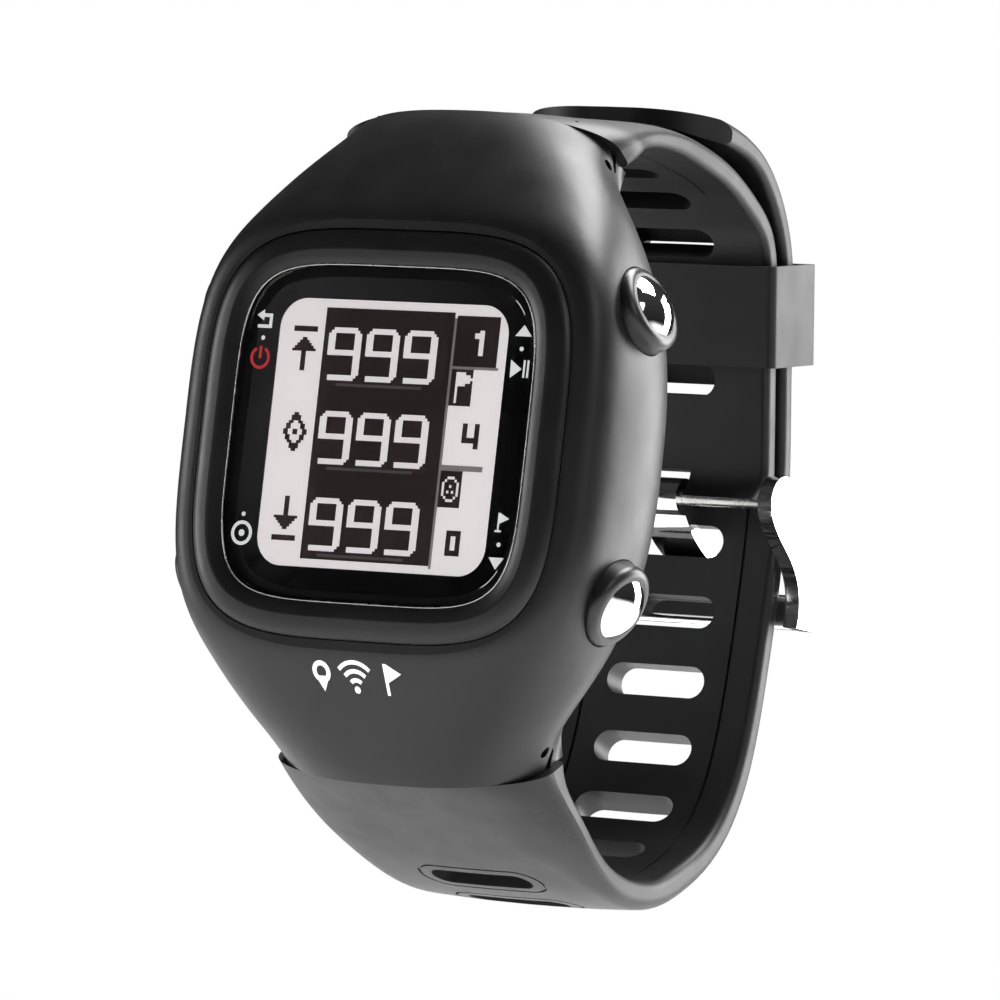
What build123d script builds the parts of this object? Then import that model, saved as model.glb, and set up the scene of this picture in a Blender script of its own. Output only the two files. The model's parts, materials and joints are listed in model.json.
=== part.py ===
from build123d import *

import math
import os

# Golf GPS watch, buckled. Millimetres. The origin is the centre of the case back's outer face.
# +X points to 3 o'clock, +Y from the display into the wrist, +Z to 12 o'clock.

# Driving dimensions: the face
DISPLAY = 24.0                      # side of the square display window
DISPLAY_Y = -12.0                   # front of the display panel
PANEL = 25.4                        # side of the panel behind the window
LENS = (15.5, 15.05, 5.0)           # half width, half height, squareness
LENS_FRONT_Y = -12.9
LENS_BACK_Y = -12.1
RING = (18.95, 18.3, 4.0)
RING_BASE_Y = -11.4
RING_TOP_Y = -13.25
SEAM_GAP = 0.1
RIM_Y = -12.5                       # front edge of the shell, round the bezel ring

# Driving dimensions: the case
SHELL_SECTIONS = (
    # y, body half width, half height, squareness, stub half width, half height, squareness
    (RIM_Y, 19.45, 18.8, 4.0, 13.5, 17.5, 4.0),
    (-11.9, 21.1, 20.4, 3.8, 13.5, 18.0, 4.0),
    (-10.2, 22.1, 23.2, 3.3, 13.5, 20.0, 4.0),
    (-7.4, 22.6, 27.3, 2.7, 13.2, 24.0, 4.0),
    (-4.4, 22.8, 30.4, 2.35, 13.4, 28.0, 4.0),
    (-1.2, 22.3, 28.0, 2.4, 14.3, 32.0, 6.0),
    (2.6, 19.6, 24.0, 2.4, 14.2, 33.5, 8.0),
)
BLEND = 14.0                        # higher makes a tighter blend between body and stub
CAVITY = (19.2, 20.0, 3.2)
CAVITY_FRONT_Y = -9.9
COVER = (20.3, 21.3, 3.2)
COVER_THICKNESS = 1.4
GASKET = 0.5
FLAT_BACK_Z = 20.5                  # the flat wrist side ends here and the lugs slope away
LUG_DEPTH_Y = 2.0
SEAM_OUTER = (-4.6, 30.1)           # y, z of the seam between case and strap, outside
SEAM_INNER = (1.4, 26.6)            # and on the wrist side
BOSS_AT = (14.6, 15.9)
BOSS_R = 2.1
SCREW_R = 0.7

# Driving dimensions: the buttons
BUTTON_TILT = 25.0                  # degrees away from the X axis
BUTTON_AT = (20.7, -5.2, 12.65)      # where a button's axis leaves the shell
BUTTON_TRAVEL = 0.7
CAP_R = 2.8
CAP_BASE = 0.75                     # heights are measured outwards along the button's axis
CAP_RIM = 1.9
CAP_CROWN = 3.1
STEM_R = 1.0
STEM_END = -4.2
COLLAR_R = 3.9
COLLAR_TOP = 1.9
COLLAR_END = -3.0
NECK_R = 2.9
RUNNING = 0.05

# Driving dimensions: the strap
STRAP_HALF = 10.9                   # half of the width at the buckle
SLOT_LENGTH = 10.5
SLOT_HEIGHT = 3.0
SLOT_PITCH = 6.75
GROOVE_X = 7.6                      # fine grooves along the wrist side
GROOVE_HALF = 0.14
GROOVE_DEPTH = 0.25
STRAP_TILT = 10.6                   # degrees, where both layers run straight under the keeper
STRAIGHT_LOW = (36.9, 4.5)          # y, z of the inner layer's wrist side
STRAIGHT_HIGH_Z = 22.0
LAYER = 2.6                         # thickness of the upper strap half
LAYER_GAP = 0.5
TAIL = 2.4                          # thickness of the tail
TONGUE_AT = (-2.2, 26.2)            # y, z of a spring bar's axis
TONGUE_R = 1.9
TONGUE_HALF = 10.6
SPRING_BAR_R = 0.75

# Driving dimensions: buckle and keeper
PIVOT = (37.2, 1.0)                 # y, z of the buckle pin
PIN_R = 0.75
EAR_R = 2.4
ARM_IN = 11.6
ARM_OUT = 13.1
PRONG_HALF = 2.4
NOTCH_HALF = 2.8
PRONG_THICKNESS = 1.1
KEEPER_LENGTH = 9.4
KEEPER_WALL = 0.8
KEEPER_HALF = 12.2
KEEPER_SLACK = 0.5
KEEPER_Z = 17.9                     # height of its middle

CORNERS = ((1, 1, "upper_right"), (-1, 1, "upper_left"), (1, -1, "lower_right"), (-1, -1, "lower_left"))


def ring_points(reach, y, count=48):
    """Points round the Y axis at height y, where reach(angle) is the distance from the axis."""
    points = []
    for i in range(count):
        angle = 2 * math.pi * i / count
        points.append((reach(angle) * math.cos(angle), y, reach(angle) * math.sin(angle)))
    return points


def squircle(half_x, half_z, power):
    """Reach of a superellipse, from nearly round at a power of 2 to nearly square at 8."""
    def reach(angle):
        x = abs(math.cos(angle) / half_x) ** power
        z = abs(math.sin(angle) / half_z) ** power
        return (x + z) ** (-1 / power)
    return reach


def tonneau(half_x, half_z, power, stub_x, stub_z, stub_power):
    """Reach of the case's outline: a squircle blended into the stub that meets the strap."""
    body = squircle(half_x, half_z, power)
    stub = squircle(stub_x, stub_z, stub_power)

    def reach(angle):
        return (body(angle) ** BLEND + stub(angle) ** BLEND) ** (1 / BLEND)
    return reach


def outline(reach, y):
    return Wire([Edge.make_spline([Vector(*p) for p in ring_points(reach, y)], periodic=True)])


def loft_rings(rings):
    """A solid through outlines given as (reach, y), in order along Y."""
    return Solid.make_loft([outline(reach, y) for reach, y in rings])


def plug(shape, y_low, y_high, grow=0.0):
    """A straight prism along Y with a squircle outline, grown sideways."""
    reach = squircle(shape[0] + grow, shape[1] + grow, shape[2])
    return Solid.extrude(Face(outline(reach, y_low)), Vector(0, y_high - y_low, 0))


def block(x, y, z):
    """A box between pairs of limits."""
    box = Box(x[1] - x[0], y[1] - y[0], z[1] - z[0])
    return Pos((x[0] + x[1]) / 2, (y[0] + y[1]) / 2, (z[0] + z[1]) / 2) * box


def rod(y, z, radius, x_low, x_high):
    """A cylinder along X."""
    return Pos((x_low + x_high) / 2, y, z) * Rot(0, 90, 0) * Cylinder(radius, x_high - x_low)


def side_prism(edges, half_x):
    """A closed outline in the YZ plane, extruded to both sides of it."""
    face = Face(Wire(edges))
    return Solid.extrude(face.moved(Location((-half_x, 0, 0))), Vector(2 * half_x, 0, 0))


def yz(points):
    return [Vector(0, y, z) for y, z in points]


def side_polygon(points, half_x):
    corners = yz(points)
    edges = [Edge.make_line(corners[i - 1], corners[i]) for i in range(len(corners))]
    return side_prism(edges, half_x)


def write(name, shape):
    export_step(shape, f"parts/{name}.step")


def group(shapes):
    return Compound(children=list(shapes))


def flip(shape):
    """The same shape mirrored from 12 o'clock to 6 o'clock."""
    return mirror(shape, about=Plane.XY)


def button_frame(side, end):
    """The place on a button's axis, with local Z pointing outwards."""
    tilt = math.radians(BUTTON_TILT)
    axis = (side * math.cos(tilt), 0, end * math.sin(tilt))
    x, y, z = BUTTON_AT
    return Plane(origin=(side * x, y, end * z), x_dir=(0, 1, 0), z_dir=axis)


def disc(radius, low, high):
    """A cylinder along local Z between two heights."""
    return Pos(0, 0, (low + high) / 2) * Cylinder(radius, high - low)


# ---- strap outlines in the side view -------------------------------------------------------

TILT = math.radians(STRAP_TILT)
OUTWARD = (math.cos(TILT), math.sin(TILT))


def on_straight(z, depth):
    """A point of the straight stretch: z is its height on the wrist side, depth its layer."""
    y = STRAIGHT_LOW[0] - (z - STRAIGHT_LOW[1]) * math.tan(TILT)
    return (y + depth * OUTWARD[0], z + depth * OUTWARD[1])


def straight_station(z, depth, thickness):
    return (on_straight(z, depth), on_straight(z, depth + thickness), STRAP_HALF)


# Each station is the strap's middle on the wrist side, on the outer side, and its half width.
UPPER_STATIONS = (
    (SEAM_INNER, SEAM_OUTER, 14.4),
    ((4.6, 28.6), (1.4, 31.1), 14.2),
    ((9.0, 29.5), (8.0, 31.9), 13.3),
    ((14.2, 29.6), (14.2, 32.1), 12.6),
    ((19.6, 29.2), (20.2, 31.7), 11.7),
    ((24.8, 28.4), (25.8, 30.8), 11.1),
    ((29.2, 26.7), (30.9, 28.8), STRAP_HALF),
    ((32.4, 24.6), (34.5, 26.1), STRAP_HALF),
    straight_station(STRAIGHT_HIGH_Z, 0, LAYER),
    straight_station(17.5, 0, LAYER),
    straight_station(13.0, 0, LAYER),
    straight_station(8.5, 0, LAYER),
    straight_station(STRAIGHT_LOW[1], 0, LAYER),
    ((PIVOT[0] - 1.6, PIVOT[1]), (PIVOT[0] + 1.6, PIVOT[1]), STRAP_HALF),
)
TAIL_DEPTH = LAYER + LAYER_GAP
LOWER_STATIONS = (
    ((1.4, -26.6), (-4.6, -30.1), 14.4),
    ((4.6, -30.2), (1.4, -32.7), 14.3),
    ((8.8, -32.8), (7.4, -35.3), 13.7),
    ((13.8, -34.8), (13.1, -37.4), 12.7),
    ((20.2, -35.8), (20.2, -38.7), 11.8),
    ((26.4, -35.0), (27.5, -37.8), 11.2),
    ((31.4, -32.7), (33.3, -35.1), STRAP_HALF),
    ((35.6, -28.9), (38.1, -30.5), STRAP_HALF),
    ((38.1, -23.5), (40.9, -24.4), STRAP_HALF),
    ((39.3, -17.0), (42.1, -17.4), STRAP_HALF),
    ((39.9, -10.0), (42.7, -10.2), STRAP_HALF),
    ((40.2, -3.0), (42.9, -3.0), STRAP_HALF),
    ((40.2, 1.5), (42.8, 1.7), STRAP_HALF),
    straight_station(5.5, TAIL_DEPTH, TAIL),
    straight_station(9.5, TAIL_DEPTH, TAIL),
    straight_station(13.5, TAIL_DEPTH, TAIL),
    straight_station(17.5, TAIL_DEPTH, TAIL),
    straight_station(21.8, TAIL_DEPTH, TAIL),
    ((35.0, 26.2), (37.1, 27.4), STRAP_HALF),
    ((32.0, 29.6), (33.6, 31.4), STRAP_HALF),
    ((27.6, 31.8), (28.4, 34.0), STRAP_HALF),
    ((22.0, 32.6), (22.3, 34.9), STRAP_HALF),
    ((15.5, 32.9), (15.4, 35.1), STRAP_HALF),
)
STRAP_CROWN = 0.3
ROOT_HALF = 14.4                    # half width where the strap meets the case
ARCH_ACROSS = 0.82                  # share of the half width that the arch's corner takes there
ARCH_HEIGHT = 0.66                  # and of the thickness
CORNER_POINTS = 7
TAIL_TIP_Y = 19.5
TAIL_TIP_R = 9.0


def curve(points):
    return Edge.make_spline(yz(points))


def line(a, b):
    return Edge.make_line(*yz((a, b)))


def strap_section(inner, outer, half_width):
    """A section across the strap: flat on the wrist side, crowned outside, with rounded corners.

    The outer corners open up into a wide arch where the strap broadens to meet the case."""
    thickness = math.dist(inner, outer)
    up = ((outer[0] - inner[0]) / thickness, (outer[1] - inner[1]) / thickness)
    near = 0.25 * min(thickness, 4.0)
    arch = max(0.0, (half_width - STRAP_HALF) / (ROOT_HALF - STRAP_HALF)) ** 3
    side = half_width
    crown = thickness - STRAP_CROWN * (1 - arch)
    across = 0.4 * thickness * (1 - arch) + ARCH_ACROSS * half_width * arch
    height = (0.4 + (ARCH_HEIGHT - 0.4) * arch) * thickness

    def at(x, h):
        return Vector(x, inner[0] + up[0] * h, inner[1] + up[1] * h)

    def corner(sign, middle_x, middle_h, radius_x, radius_h, first, last):
        points = []
        for i in range(CORNER_POINTS):
            angle = math.radians(first + (last - first) * i / (CORNER_POINTS - 1))
            points.append(at(sign * (middle_x + radius_x * math.cos(angle)), middle_h + radius_h * math.sin(angle)))
        return Edge.make_spline(points)

    edges = [
        Edge.make_line(at(near - side, 0), at(side - near, 0)),
        corner(1, side - near, near, near, near, -90, 0),
        Edge.make_line(at(side, near), at(side, crown - height)),
        corner(1, side - across, crown - height, across, height, 0, 90),
        Edge.make_three_point_arc(at(side - across, crown), at(0, thickness + 0.001), at(across - side, crown)),
        corner(-1, side - across, crown - height, across, height, 90, 0),
        Edge.make_line(at(-side, crown - height), at(-side, near)),
        corner(-1, side - near, near, near, near, 0, -90),
    ]
    return Wire(edges)


def strap_body(stations):
    return Part() + Solid.make_loft([strap_section(*station) for station in stations])


def grooves(stations):
    """Two fine grooves along the wrist side of a strap half."""
    cutters = []
    for x in (GROOVE_X, -GROOVE_X):
        wires = []
        for (y0, z0), (y1, z1), _ in stations:
            size = math.hypot(y1 - y0, z1 - z0)
            corners = [Vector(x + a, y0 + (y1 - y0) * b / size, z0 + (z1 - z0) * b / size)
                       for a, b in ((-GROOVE_HALF, -0.3), (GROOVE_HALF, -0.3),
                                    (GROOVE_HALF, GROOVE_DEPTH), (-GROOVE_HALF, GROOVE_DEPTH))]
            wires.append(Wire([Edge.make_line(corners[i - 1], corners[i]) for i in range(4)]))
        cutters.append(Solid.make_loft(wires))
    return cutters


def strap_middle(stations):
    """The line half way through the strap's thickness."""
    return Wire([curve([((i[0] + o[0]) / 2, (i[1] + o[1]) / 2) for i, o, _ in stations])])


def slot(y, z, angle, length=SLOT_LENGTH, height=SLOT_HEIGHT, depth=9.0):
    """A stadium cutter through the strap at (y, z); angle turns it from facing along Y."""
    sketch = SlotOverall(length, height)
    solid = extrude(sketch, depth / 2, both=True)
    return Pos(0, y, z) * Rot(angle, 0, 0) * Rot(90, 0, 0) * solid


def border(y, z, angle, low):
    """A fine stadium groove round a slot's mouth, cut from the height low outwards."""
    sketch = SlotOverall(SLOT_LENGTH + 2.6, SLOT_HEIGHT + 2.0) - SlotOverall(SLOT_LENGTH + 2.1, SLOT_HEIGHT + 1.5)
    solid = Pos(0, 0, -low) * extrude(sketch, -3.0)
    return Pos(0, y, z) * Rot(angle, 0, 0) * Rot(90, 0, 0) * solid


def slots_along(path, first_at, before, after, border_low=None):
    """Cutters every slot pitch along a path, before and after the length first_at."""
    cutters = []
    for i in range(-before, after + 1):
        at = (first_at + i * SLOT_PITCH) / path.length
        point = path.position_at(at)
        heading = path.tangent_at(at)
        angle = math.degrees(math.atan2(-heading.Y, heading.Z))
        cutters.append(slot(point.Y, point.Z, angle))
        if border_low and i < BORDERED:
            cutters.append(border(point.Y, point.Z, angle, border_low))
    return cutters


def length_at_height(path, z, low, high):
    """The length along a path, between two shares of it, where it reaches the height z."""
    rising = path.position_at(high).Z > path.position_at(low).Z
    for _ in range(40):
        middle = (low + high) / 2
        if (path.position_at(middle).Z < z) == rising:
            low = middle
        else:
            high = middle
    return low * path.length


def tongue(grow):
    """The strap's end that turns on the spring bar, or with grow the pocket that holds it."""
    y, z = TONGUE_AT
    radius = TONGUE_R + grow
    half = TONGUE_HALF + grow
    dy = SEAM_INNER[0] - SEAM_OUTER[0]
    dz = SEAM_INNER[1] - SEAM_OUTER[1]
    size = math.hypot(dy, dz)
    along = (dy / size, dz / size)
    out = (-along[1], along[0])
    reach = 3.4
    corners = [(y + a * radius * along[0] + b * out[0], z + a * radius * along[1] + b * out[1])
               for a, b in ((-1, 0), (-1, reach), (1, reach), (1, 0))]
    return side_polygon(corners, half) + rod(y, z, radius, -half, half)


# ---- case ----------------------------------------------------------------------------------

def wrist_side(half_x):
    """What is cut away behind the case: flat at Y 0, sloping back over the lugs."""
    z_end = SEAM_INNER[1] - 0.4
    corners = [(0, -FLAT_BACK_Z), (LUG_DEPTH_Y, -z_end), (LUG_DEPTH_Y, -40), (6, -40),
               (6, 40), (LUG_DEPTH_Y, 40), (LUG_DEPTH_Y, z_end), (0, FLAT_BACK_Z)]
    return side_polygon(corners, half_x)


def beyond_seam(gap):
    """Everything past the 12 o'clock seam plane, less a gap."""
    (y1, z1), (y2, z2) = SEAM_OUTER, SEAM_INNER
    z1 -= gap
    z2 -= gap
    slope = (z2 - z1) / (y2 - y1)
    low, high, far = -20, 8, 60
    corners = [(low, z1 + slope * (low - y1)), (high, z1 + slope * (high - y1)), (high, far), (low, far)]
    return side_polygon(corners, 30)


def boss(x, z):
    y_front, y_back = CAVITY_FRONT_Y, -COVER_THICKNESS - GASKET - 0.05
    pillar = rod_y(BOSS_R, y_front - 0.5, y_back, x, z)
    return pillar - rod_y(SCREW_R, y_back - 4.0, y_back, x, z)


def rod_y(radius, y_low, y_high, x, z):
    """A cylinder along Y."""
    return Pos(x, (y_low + y_high) / 2, z) * Rot(90, 0, 0) * Cylinder(radius, y_high - y_low)


def make_case_shell():
    shell = Part() + loft_rings([(tonneau(*sizes), y) for y, *sizes in SHELL_SECTIONS])
    shell -= wrist_side(30)
    shell -= beyond_seam(0.06)
    shell -= flip(beyond_seam(0.06))
    shell -= plug(RING, RING_BASE_Y, RIM_Y - 1, SEAM_GAP)
    shell -= window(PANEL + 0.6, 1.4, RING_BASE_Y - 0.1, CAVITY_FRONT_Y + 0.1)
    shell -= plug(CAVITY, CAVITY_FRONT_Y, -COVER_THICKNESS)
    shell -= plug(CAVITY, -COVER_THICKNESS - GASKET, -COVER_THICKNESS, 0.65)
    shell -= plug(COVER, -COVER_THICKNESS, 1.0, 0.1)
    for sx in (1, -1):
        for sz in (1, -1):
            shell += boss(sx * BOSS_AT[0], sz * BOSS_AT[1])
    pocket = tongue(0.2)
    shell -= pocket
    shell -= flip(pocket)
    tool_y, tool_z = TONGUE_AT
    for sz in (1, -1):
        shell -= rod(tool_y, sz * tool_z, 0.5, -20, 20)
        shell -= side_polygon([(-1.0, sz * 25.6), (-0.1, sz * 25.9), (0.1, sz * 28), (-0.8, sz * 28)], 20)
    for side, end, _ in CORNERS:
        place = button_frame(side, end)
        shell -= place * disc(COLLAR_R + 0.08, -0.6, 6)
        shell -= place * disc(NECK_R + 0.04, -6, 6)
    return shell


def make_bezel_ring():
    """A low convex ring, level with the shell at the seam and with the lens inside."""
    half_x, half_z, _ = RING
    steps = ((RIM_Y, 0.0, 4.0), (-12.82, -0.3, 4.05), (-13.1, -0.95, 4.2), (RING_TOP_Y, -1.8, 4.5))
    crown = loft_rings([(squircle(half_x + g, half_z + g, n), y) for y, g, n in steps])
    body = Part() + plug(RING, RIM_Y, RING_BASE_Y) + crown
    bowl = ((LENS_FRONT_Y, 0.1, 5.0), (-13.0, 0.3, 5.0), (-13.15, 0.8, 4.8), (RING_TOP_Y - 0.05, 1.6, 4.6))
    inner = loft_rings([(squircle(LENS[0] + g, LENS[1] + g, n), y) for y, g, n in bowl])
    ring = body - inner
    ring -= plug(LENS, LENS_BACK_Y + 0.1, LENS_FRONT_Y, 0.1)
    ring -= plug(LENS, RING_BASE_Y, LENS_BACK_Y, -0.75)
    return ring


def make_lens():
    lens = Part() + plug(LENS, LENS_BACK_Y, LENS_FRONT_Y)
    front = lens.faces().sort_by(Axis.Y)[0]
    return chamfer(front.edges(), 0.2)


def window(size, radius, y_low, y_high):
    """A rounded square prism along Y."""
    plate = extrude(RectangleRounded(size, size, radius), (y_high - y_low) / 2, both=True)
    return Pos(0, (y_low + y_high) / 2, 0) * Rot(90, 0, 0) * plate


def make_lens_gasket():
    low = LENS_BACK_Y
    ring = Part() + plug(LENS, low, low + 0.1, -0.1)
    return ring - plug(LENS, low, low + 0.1, -0.9)


def make_display_mask():
    low = LENS_BACK_Y
    return Part() + plug(LENS, low, low + 0.08, -1.0) - window(DISPLAY, 2.7, low - 1, low + 1)


def make_case_back():
    cover = Part() + plug(COVER, -COVER_THICKNESS, 0)
    cover = chamfer(cover.faces().sort_by(Axis.Y)[-1].edges(), 0.35)
    for sx in (1, -1):
        for sz in (1, -1):
            x, z = sx * BOSS_AT[0], sz * BOSS_AT[1]
            cover -= rod_y(SCREW_R + 0.1, -2, 1, x, z)
            cover -= rod_y(1.35, -0.75, 1, x, z)
    for x in CONTACT_X:
        cover -= rod_y(0.75, -2, 1, x, CONTACT_Z)
    cover -= plug((9.5, 5.2, 5.0), -0.25, 1).moved(Location((0, 0, 3)))
    return cover


def make_case_back_gasket():
    low = -COVER_THICKNESS - GASKET
    ring = Part() + plug(CAVITY, low, -COVER_THICKNESS, 0.6)
    return ring - plug(CAVITY, low, -COVER_THICKNESS, 0.05)


def make_screws():
    screws = []
    for sx in (1, -1):
        for sz in (1, -1):
            x, z = sx * BOSS_AT[0], sz * BOSS_AT[1]
            screw = rod_y(1.25, -0.75, -0.1, x, z) + rod_y(SCREW_R - 0.02, -5.0, -0.75, x, z)
            screw -= block((x - 0.8, x + 0.8), (-0.4, 0), (z - 0.13, z + 0.13))
            screw -= block((x - 0.13, x + 0.13), (-0.4, 0), (z - 0.8, z + 0.8))
            screws.append(screw)
    return group(screws)


CONTACT_X = (-3.75, -1.25, 1.25, 3.75)
CONTACT_Z = -11.0


def make_contacts():
    return group([rod_y(0.7, -2.1, -0.05, x, CONTACT_Z) for x in CONTACT_X])


# ---- electronics ---------------------------------------------------------------------------

BOARD_HALF = 13.2
BOARD_Y = (-9.3, -8.5)
PATCH_Z = (-17.2, -6.2)


def make_display_panel():
    return window(PANEL, 1.2, DISPLAY_Y, -10.5)


def make_backlight_frame():
    tray = window(PANEL, 1.2, -10.45, CAVITY_FRONT_Y + 0.4) - window(PANEL - 1.6, 0.8, -10.1, -9.0)
    return tray


def make_mainboard():
    board = block((-BOARD_HALF, BOARD_HALF), BOARD_Y, (-17.4, 17.4))
    for sx in (1, -1):
        for sz in (1, -1):
            board -= rod_y(BOSS_R + 0.3, -10, -8, sx * BOSS_AT[0], sz * BOSS_AT[1])
    return board


def make_shield_cans():
    cans = []
    for z_low, z_high in ((-5.5, 5.5), (6.5, 17.5)):
        can = block((-11.5, 11.5), (BOARD_Y[1], -7.2), (z_low, z_high))
        can -= block((-11.3, 11.3), (BOARD_Y[1], -7.4), (z_low + 0.2, z_high - 0.2))
        cans.append(can)
    return group(cans)


def make_antenna():
    return block((-5.5, 5.5), (BOARD_Y[1], -5.0), PATCH_Z)


def make_battery():
    cell = block((-12.0, 12.0), (-7.1, -2.7), (-5.5, 17.5))
    return fillet(cell.edges().filter_by(Axis.Y), 2.0)


def make_buzzer():
    return rod_y(5.0, -4.6, -2.6, 0, -12.5) - rod_y(0.8, -3.2, -2, 0, -12.5)


def make_tact_switches():
    """Each switch stands behind its button and touches the edge of the board."""
    switches = []
    for side, end, _ in CORNERS:
        place = button_frame(side, end)
        body = Pos(-1.4, 0, -6.3) * Box(5.8, 3.6, 1.8)
        switches.append(place * (body + disc(0.7, -5.5, STEM_END - BUTTON_TRAVEL - 0.1)))
    return group(switches)


# ---- buttons -------------------------------------------------------------------------------

def make_button_cap():
    """Domed cap and stem, along local Z."""
    dome_r = (CAP_R ** 2 + (CAP_CROWN - CAP_RIM) ** 2) / (2 * (CAP_CROWN - CAP_RIM))
    dome = Pos(0, 0, CAP_CROWN - dome_r) * Sphere(dome_r)
    cap = disc(CAP_R, CAP_BASE, CAP_CROWN + 0.5) & dome
    stem = disc(STEM_R, STEM_END, CAP_BASE + 0.2)
    groove = disc(STEM_R + 1, CLIP_LOW, CLIP_LOW + CLIP_T) - disc(0.7, CLIP_LOW, CLIP_LOW + CLIP_T)
    return cap + stem - groove


CLIP_LOW = -3.45
CLIP_T = 0.35


def make_button_clip():
    clip = disc(1.8, CLIP_LOW, CLIP_LOW + CLIP_T) - disc(0.7, CLIP_LOW, CLIP_LOW + CLIP_T)
    return clip - Pos(0, 1.5, CLIP_LOW + CLIP_T / 2) * Box(1.0, 3.0, 1.0)


SPRING_FLOOR = -1.6
SPRING_POCKET_R = 2.15
SEAL_POCKET = (-2.75, -2.05)


def make_button_collar():
    flange = disc(COLLAR_R, -0.6, COLLAR_TOP)
    flange = fillet(flange.edges().sort_by(Axis.Z)[-1], 0.8)
    collar = flange + disc(NECK_R, COLLAR_END, 0)
    collar -= disc(CAP_R + RUNNING, CAP_BASE - BUTTON_TRAVEL - 0.1, 5)
    collar -= disc(SPRING_POCKET_R, SPRING_FLOOR, 1)
    collar -= disc(1.6, *SEAL_POCKET)
    collar -= disc(STEM_R + RUNNING, -5, 1)
    return collar


def make_button_spring():
    wire_r = 0.13
    coil_r = 1.75
    height = CAP_BASE - SPRING_FLOOR - 2 * wire_r - 0.06
    path = Helix(height / 4, height, coil_r)
    section = Plane(origin=path @ 0, z_dir=path % 0) * Circle(wire_r)
    coil = sweep(section, path=path, is_frenet=True)
    return Pos(0, 0, SPRING_FLOOR + wire_r + 0.03) * coil


def make_stem_seals():
    middle = (SEAL_POCKET[0] + SEAL_POCKET[1]) / 2
    ring = Pos(0, 0, middle) * Torus(1.305, 0.28)
    return group([button_frame(side, end) * ring for side, end, _ in CORNERS])


# ---- strap ---------------------------------------------------------------------------------

UPPER_SLOT_Z = 12.1                 # the slot nearest the buckle
LOWER_SLOT_Z = -2.8                 # the slot that the prong is in
BORDER_LOW = 1.1                    # height of the border grooves' floor over the strap's middle
BORDERED = -3                       # slots before this one have a border outside


def make_upper_strap():
    strap = strap_body(UPPER_STATIONS)
    strap += rod(*PIVOT, 1.9, -STRAP_HALF, STRAP_HALF)
    middle = strap_middle(UPPER_STATIONS)
    for cutter in slots_along(middle, length_at_height(middle, UPPER_SLOT_Z, 0.5, 1.0), 4, 0):
        strap -= cutter
    for cutter in grooves(UPPER_STATIONS[1:-2]):
        strap -= cutter
    strap += tongue(0)
    strap -= rod(*TONGUE_AT, SPRING_BAR_R, -16, 16)
    strap -= rod(*PIVOT, PIN_R, -16, 16)
    strap -= block((-NOTCH_HALF, NOTCH_HALF), (PIVOT[0] - 5, PIVOT[0] + 5), (PIVOT[1] - 5, PIVOT[1] + 2.6))
    return strap


def make_lower_strap():
    strap = strap_body(LOWER_STATIONS)
    tip = block((-STRAP_HALF - 1, STRAP_HALF + 1), (TAIL_TIP_Y, 60), (0, 50))
    tip = fillet(tip.edges().filter_by(Axis.Z).sort_by(Axis.Y)[0:2], TAIL_TIP_R)
    strap &= block((-20, 20), (-20, 60), (-50, 0)) + tip
    middle = strap_middle(LOWER_STATIONS)
    first_at = length_at_height(middle, LOWER_SLOT_Z, 0.35, 0.8)
    for cutter in slots_along(middle, first_at, 8, 5, BORDER_LOW):
        strap -= cutter
    for cutter in grooves(LOWER_STATIONS[1:14]):
        strap -= cutter
    strap += flip(tongue(0))
    strap -= rod(TONGUE_AT[0], -TONGUE_AT[1], SPRING_BAR_R, -16, 16)
    return strap


def make_spring_bar():
    y, z = TONGUE_AT
    return rod(y, z, SPRING_BAR_R, -TONGUE_HALF, TONGUE_HALF) + rod(y, z, 0.42, -12.6, 12.6)


def make_strap_keeper():
    """A flat band round both strap layers, turned with the straight stretch."""
    depth_low = -KEEPER_SLACK - KEEPER_WALL
    depth_high = TAIL_DEPTH + TAIL + KEEPER_SLACK + KEEPER_WALL
    depth = depth_high - depth_low
    outer = Box(2 * KEEPER_HALF, depth, KEEPER_LENGTH)
    outer = fillet(outer.edges().filter_by(Axis.Z), 0.7)
    inner = Box(2 * (KEEPER_HALF - KEEPER_WALL), depth - 2 * KEEPER_WALL, KEEPER_LENGTH + 2)
    band = outer - inner
    y, z = on_straight(KEEPER_Z, (depth_low + depth_high) / 2)
    return Pos(0, y, z) * Rot(STRAP_TILT, 0, 0) * band


# ---- buckle --------------------------------------------------------------------------------

ARM_INNER = ((35.0, -0.1), (36.6, -2.0), (39.2, -3.9), (41.2, -6.0), (42.0, -8.4), (41.9, -10.2))
ARM_OUTER = ((45.4, -10.2), (45.5, -7.0), (44.2, -3.8), (41.8, -1.0), (39.3, 2.1))
BAR_Y = (43.1, 45.3)
BAR_Z = (-10.2, -7.0)


def make_buckle_frame():
    arm_edges = [curve(ARM_INNER), line(ARM_INNER[-1], ARM_OUTER[0]), curve(ARM_OUTER),
                 line(ARM_OUTER[-1], PIVOT), line(PIVOT, ARM_INNER[0])]
    arm = side_prism(arm_edges, 20) + rod(*PIVOT, EAR_R, -20, 20)
    sides = arm - block((-ARM_IN, ARM_IN), (0, 60), (-40, 40))
    sides &= block((-ARM_OUT, ARM_OUT), (0, 60), (-40, 40))
    bar = block((-ARM_IN - 0.5, ARM_IN + 0.5), BAR_Y, BAR_Z)
    bar = fillet(bar.edges().filter_by(Axis.X), 0.7)
    frame = sides + bar
    return frame - rod(*PIVOT, PIN_R + 0.04, -20, 20)


def make_buckle_pin():
    return rod(*PIVOT, PIN_R, -ARM_OUT - 0.05, ARM_OUT + 0.05)


PRONG_LINE = ((37.2, 1.0), (39.3, -1.6), (42.0, -3.3), (45.0, -5.0), (46.2, -7.2), (46.3, -10.0))


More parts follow.
